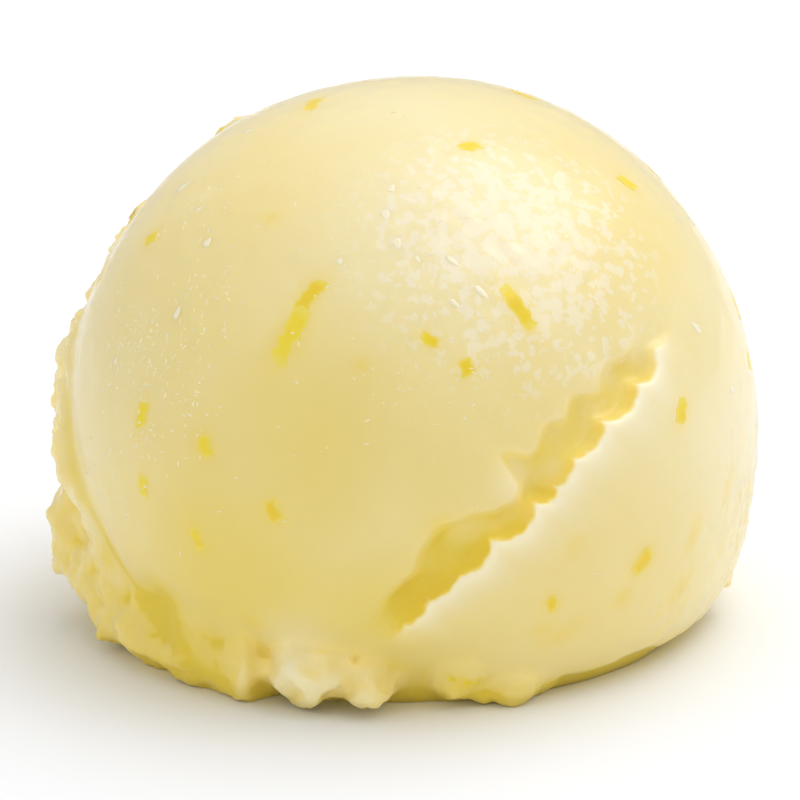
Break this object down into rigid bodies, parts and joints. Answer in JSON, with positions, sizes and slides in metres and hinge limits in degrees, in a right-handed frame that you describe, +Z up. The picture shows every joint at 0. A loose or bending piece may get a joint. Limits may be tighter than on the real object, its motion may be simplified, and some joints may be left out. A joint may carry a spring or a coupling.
{
  "type": "scoop of lemon sorbet",
  "caption": "Round scoop of pale lemon sorbet with a smooth front, a torn back, an open groove under a rolled edge, a crumbly foot and flecks of lemon zest.",
  "frame": {"origin": "on the table, under the middle of the scoop's bounding box", "axes": "+Z up, front of the scoop towards -Y, +X to the right as seen from the front"},
  "size_m": [0.06, 0.0583, 0.0455],
  "materials": {
    "sorbet": "frozen lemon sorbet, pale yellow, damp and slightly see-through, glossy on the pressed front and grainy where torn"
  },
  "bodies": {
    "root": {"sorbet_scoop": "sorbet"}
  },
  "joints": []
}
